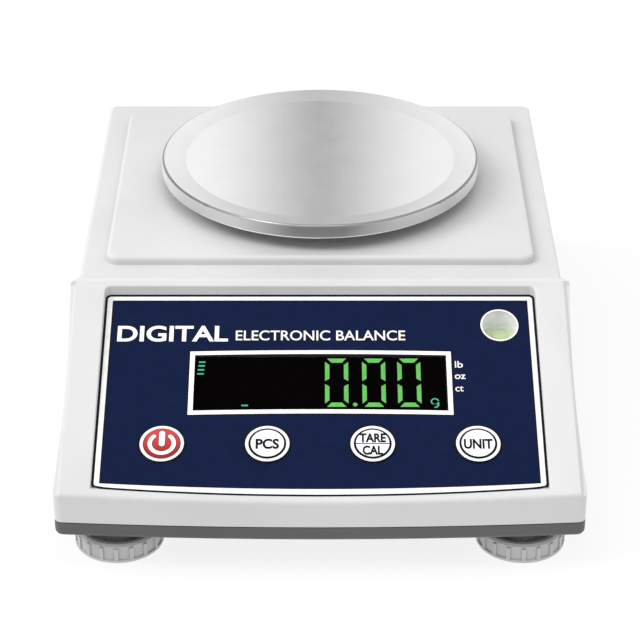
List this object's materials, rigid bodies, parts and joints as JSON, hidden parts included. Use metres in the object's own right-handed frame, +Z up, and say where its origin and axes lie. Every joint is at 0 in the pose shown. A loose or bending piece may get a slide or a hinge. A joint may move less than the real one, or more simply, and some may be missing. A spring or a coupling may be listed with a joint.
{
  "type": "analytical balance",
  "caption": "Low top-loading laboratory balance with a round steel pan on a raised field, a sloped lit key panel, a sight level and knurled screw feet.",
  "frame": {"origin": "centre of the bounding box's bottom face, on the table under the middle of the housing", "axes": "+Z up, +Y to the rear where the connectors are, +X to the operator's right; the panel faces -Y"},
  "size_m": [0.1946, 0.262, 0.084],
  "materials": {
    "cover": "satin moulded",
    "tray": "fine moulded texture",
    "overlay": "printed, satin",
    "window": "smoked, glossy",
    "key_cap": "satin",
    "pan_steel": "satin stainless",
    "support": "moulded",
    "wheel": "moulded, knurled",
    "glide": "matte",
    "stud": "zinc plated",
    "cast_alloy": "machined",
    "plated_sheet": "zinc plated",
    "insert_brass": "turned",
    "board": "solder mask",
    "black_part": "moulded",
    "port_metal": "tinned",
    "lead": "flexible jacket",
    "gauge_seal": "silicone",
    "level_cup": "moulded",
    "level_fluid": "tinted liquid",
    "level_glass": "clear acrylic",
    "plate": "blank"
  },
  "bodies": {
    "housing": {"top_cover": "cover", "base_tray": "tray", "control_overlay": "overlay", "display_window": "window", "cover_screws": "stud", "panel_screws": "stud", "board_screws": "stud", "chassis_screws": "stud", "cell_screws": "stud", "overload_stops": "stud", "port_jack_posts": "stud", "load_cell": "cast_alloy", "cell_spacer": "cast_alloy", "chassis_plate": "plated_sheet", "adc_shield": "plated_sheet", "foot_inserts": "insert_brass", "main_board": "board", "display_board": "board", "key_board": "board", "board_chips": "black_part", "display_module": "black_part", "key_switches": "black_part", "buzzer": "black_part", "power_inlet": "black_part", "ribbon_sockets": "black_part", "board_capacitors": "black_part", "serial_port": "port_metal", "cell_lead": "lead", "panel_ribbon": "lead", "strain_gauges": "gauge_seal", "level_housing": "level_cup", "level_liquid": "level_fluid", "level_lens": "level_glass", "rating_plate": "plate"},
    "carrier": {"pan_bracket": "cast_alloy", "bracket_screws": "stud", "pan_stem": "cast_alloy", "pan_support": "support", "pan_cushions": "glide", "support_screw": "stud"},
    "pan": {"weighing_pan": "pan_steel"},
    "power_key": {"power_key": "key_cap"},
    "count_key": {"count_key": "key_cap"},
    "tare_key": {"tare_key": "key_cap"},
    "unit_key": {"unit_key": "key_cap"},
    "glide_front_left": {"foot_glide_front_left": "glide"},
    "wheel_front_left": {"foot_wheel_front_left": "wheel", "foot_stud_front_left": "stud"},
    "glide_front_right": {"foot_glide_front_right": "glide"},
    "wheel_front_right": {"foot_wheel_front_right": "wheel", "foot_stud_front_right": "stud"},
    "glide_rear_left": {"foot_glide_rear_left": "glide"},
    "wheel_rear_left": {"foot_wheel_rear_left": "wheel", "foot_stud_rear_left": "stud"},
    "glide_rear_right": {"foot_glide_rear_right": "glide"},
    "wheel_rear_right": {"foot_wheel_rear_right": "wheel", "foot_stud_rear_right": "stud"}
  },
  "joints": [
    {"name": "weigh_travel", "type": "slide", "parent": "housing", "child": "carrier", "axis": [0, 0, 1], "range_m": [-0.0004, 0], "stiffness_N_per_m": 20000, "deforming": ["load_cell"]},
    {"name": "pan_lift", "type": "slide", "parent": "carrier", "child": "pan", "axis": [0, 0, 1], "range_m": [0, 0.06]},
    {"name": "power_key_press", "type": "slide", "parent": "housing", "child": "power_key", "axis": [0, 0.3433, -0.9392], "range_m": [0, 0.0005], "stiffness_N_per_m": 3000},
    {"name": "count_key_press", "type": "slide", "parent": "housing", "child": "count_key", "axis": [0, 0.3433, -0.9392], "range_m": [0, 0.0005], "stiffness_N_per_m": 3000},
    {"name": "tare_key_press", "type": "slide", "parent": "housing", "child": "tare_key", "axis": [0, 0.3433, -0.9392], "range_m": [0, 0.0005], "stiffness_N_per_m": 3000},
    {"name": "unit_key_press", "type": "slide", "parent": "housing", "child": "unit_key", "axis": [0, 0.3433, -0.9392], "range_m": [0, 0.0005], "stiffness_N_per_m": 3000},
    {"name": "foot_height_front_left", "type": "slide", "parent": "housing", "child": "glide_front_left", "axis": [0, 0, 1], "range_m": [-0.003, 0.003]},
    {"name": "foot_turn_front_left", "type": "hinge", "parent": "glide_front_left", "child": "wheel_front_left", "pos_m": [-0.0752, -0.1095, 0], "axis": [0, 0, 1], "range_deg": [-1081, 1081]},
    {"name": "foot_height_front_right", "type": "slide", "parent": "housing", "child": "glide_front_right", "axis": [0, 0, 1], "range_m": [-0.003, 0.003]},
    {"name": "foot_turn_front_right", "type": "hinge", "parent": "glide_front_right", "child": "wheel_front_right", "pos_m": [0.0752, -0.1095, 0], "axis": [0, 0, 1], "range_deg": [-1081, 1081]},
    {"name": "foot_height_rear_left", "type": "slide", "parent": "housing", "child": "glide_rear_left", "axis": [0, 0, 1], "range_m": [-0.003, 0.003]},
    {"name": "foot_turn_rear_left", "type": "hinge", "parent": "glide_rear_left", "child": "wheel_rear_left", "pos_m": [-0.0752, 0.1095, 0], "axis": [0, 0, 1], "range_deg": [-1081, 1081]},
    {"name": "foot_height_rear_right", "type": "slide", "parent": "housing", "child": "glide_rear_right", "axis": [0, 0, 1], "range_m": [-0.003, 0.003]},
    {"name": "foot_turn_rear_right", "type": "hinge", "parent": "glide_rear_right", "child": "wheel_rear_right", "pos_m": [0.0752, 0.1095, 0], "axis": [0, 0, 1], "range_deg": [-1081, 1081]}
  ],
  "couplings": [
    {"joint": "foot_turn_front_left", "follows": "foot_height_front_left", "rad_per_m": 6283.2},
    {"joint": "foot_turn_front_right", "follows": "foot_height_front_right", "rad_per_m": 6283.2},
    {"joint": "foot_turn_rear_left", "follows": "foot_height_rear_left", "rad_per_m": 6283.2},
    {"joint": "foot_turn_rear_right", "follows": "foot_height_rear_right", "rad_per_m": 6283.2}
  ]
}
